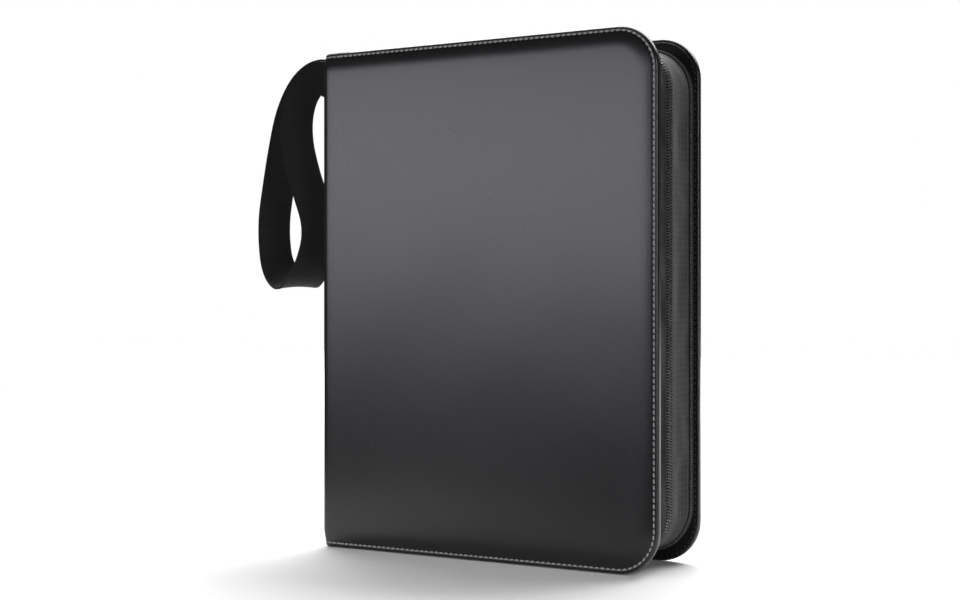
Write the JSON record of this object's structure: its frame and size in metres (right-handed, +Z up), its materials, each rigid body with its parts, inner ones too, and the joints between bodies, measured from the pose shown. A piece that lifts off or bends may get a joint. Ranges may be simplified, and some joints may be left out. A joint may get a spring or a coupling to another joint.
{
  "type": "trading card binder",
  "caption": "Zip-round padded binder standing closed, with fabric gusset, ring mechanism, pocket pages and a webbing hand strap on its spine.",
  "frame": {"origin": "middle of the spine's foot, on the surface that the binder stands on", "axes": "+X from the spine to the fore-edge, +Y from the front cover to the back cover, +Z up"},
  "size_m": [0.3508, 0.07, 0.3482],
  "materials": {
    "cover_leather": "black smooth-grain coated leather",
    "edge_binding": "black turned edge",
    "foam": "soft padding sheet",
    "board": "pressed greyboard",
    "lining": "black woven lining",
    "gusset_fabric": "dark woven gusset cloth",
    "zip_tape": "black zip tape",
    "zip_teeth": "black moulded coil",
    "zip_metal": "black lacquered metal",
    "black_plate": "black lacquered steel",
    "ring_steel": "bright nickel plate",
    "page_film": "clear and white pocket film",
    "webbing": "black fine webbing"
  },
  "bodies": {
    "back_cover": {"back_cover_skin": "cover_leather", "back_cover_edge_binding": "edge_binding", "back_cover_foam": "foam", "back_cover_board": "board", "back_cover_lining": "lining", "back_gusset": "gusset_fabric", "back_gusset_welt": "edge_binding", "zipper_tape_back": "zip_tape", "zipper_teeth_back": "zip_teeth", "zip_stop_top": "zip_metal", "zip_stop_bottom": "zip_metal"},
    "spine": {"spine_skin": "cover_leather", "spine_board": "board", "spine_lining": "lining", "hinge_flex_front": "cover_leather", "hinge_flex_back": "cover_leather", "gusset_end_top": "gusset_fabric", "gusset_end_bottom": "gusset_fabric", "strap_anchor_patch": "cover_leather", "ring_plate": "black_plate", "ring_rivet_top": "ring_steel", "ring_rivet_bottom": "ring_steel"},
    "front_cover": {"front_cover_skin": "cover_leather", "front_cover_edge_binding": "edge_binding", "front_cover_foam": "foam", "front_cover_board": "board", "front_cover_lining": "lining", "zipper_tape_front": "zip_tape", "zipper_teeth_front": "zip_teeth"},
    "front_pages": {"page_front_1": "page_film", "page_front_2": "page_film", "page_front_3": "page_film", "page_front_4": "page_film", "page_front_5": "page_film"},
    "back_pages": {"page_back_1": "page_film", "page_back_2": "page_film", "page_back_3": "page_film", "page_back_4": "page_film", "page_back_5": "page_film"},
    "ring_front": {"ring_half_front": "ring_steel"},
    "ring_back": {"ring_half_back": "ring_steel"},
    "lever_top": {"lever_top": "black_plate"},
    "lever_bottom": {"lever_bottom": "black_plate"},
    "zip_slider": {"zip_slider": "zip_metal"},
    "zip_pull": {"zip_pull": "zip_metal"},
    "hand_strap": {"hand_strap": "webbing"}
  },
  "joints": [
    {"name": "back_hinge", "type": "hinge", "parent": "back_cover", "child": "spine", "pos_m": [-0.0005, 0.033, 0], "axis": [0, 0, -1], "range_deg": [0, 90]},
    {"name": "front_hinge", "type": "hinge", "parent": "spine", "child": "front_cover", "pos_m": [-0.0005, -0.033, 0], "axis": [0, 0, -1], "range_deg": [0, 90]},
    {"name": "front_pages_turn", "type": "hinge", "parent": "spine", "child": "front_pages", "pos_m": [0.02, 0, 0], "axis": [0, 0, -1], "range_deg": [0, 90]},
    {"name": "back_pages_turn", "type": "hinge", "parent": "spine", "child": "back_pages", "pos_m": [0.02, 0, 0], "axis": [0, 0, 1], "range_deg": [0, 90]},
    {"name": "ring_open", "type": "hinge", "parent": "spine", "child": "ring_front", "pos_m": [0.0052, -0.0096, 0], "axis": [0, 0, -1], "range_deg": [0, 14]},
    {"name": "ring_back_open", "type": "hinge", "parent": "spine", "child": "ring_back", "pos_m": [0.0052, 0.0096, 0], "axis": [0, 0, 1], "range_deg": [0, 14]},
    {"name": "lever_top_press", "type": "hinge", "parent": "spine", "child": "lever_top", "pos_m": [0.0062, 0, 0.3051], "axis": [0, -1, 0], "range_deg": [0, 28]},
    {"name": "lever_bottom_press", "type": "hinge", "parent": "spine", "child": "lever_bottom", "pos_m": [0.0062, 0, 0.0399], "axis": [0, 1, 0], "range_deg": [0, 28]},
    {"name": "zip_slide", "type": "slide", "parent": "back_cover", "child": "zip_slider", "axis": [1, 0, 0], "range_m": [0, 0.187]},
    {"name": "zip_pull_flip", "type": "hinge", "parent": "zip_slider", "child": "zip_pull", "pos_m": [0.023, -0.008, 0.3409], "axis": [0, -1, 0], "range_deg": [0, 150]},
    {"name": "strap_swing", "type": "hinge", "parent": "spine", "child": "hand_strap", "pos_m": [-0.0045, 0, 0.3385], "axis": [0, 1, 0], "range_deg": [0, 60]}
  ],
  "couplings": [
    {"joint": "front_pages_turn", "follows": "front_hinge", "ratio": 1},
    {"joint": "back_pages_turn", "follows": "back_hinge", "ratio": 1},
    {"joint": "ring_back_open", "follows": "ring_open", "ratio": 1},
    {"joint": "lever_top_press", "follows": "ring_open", "ratio": 2},
    {"joint": "lever_bottom_press", "follows": "ring_open", "ratio": 2}
  ]
}
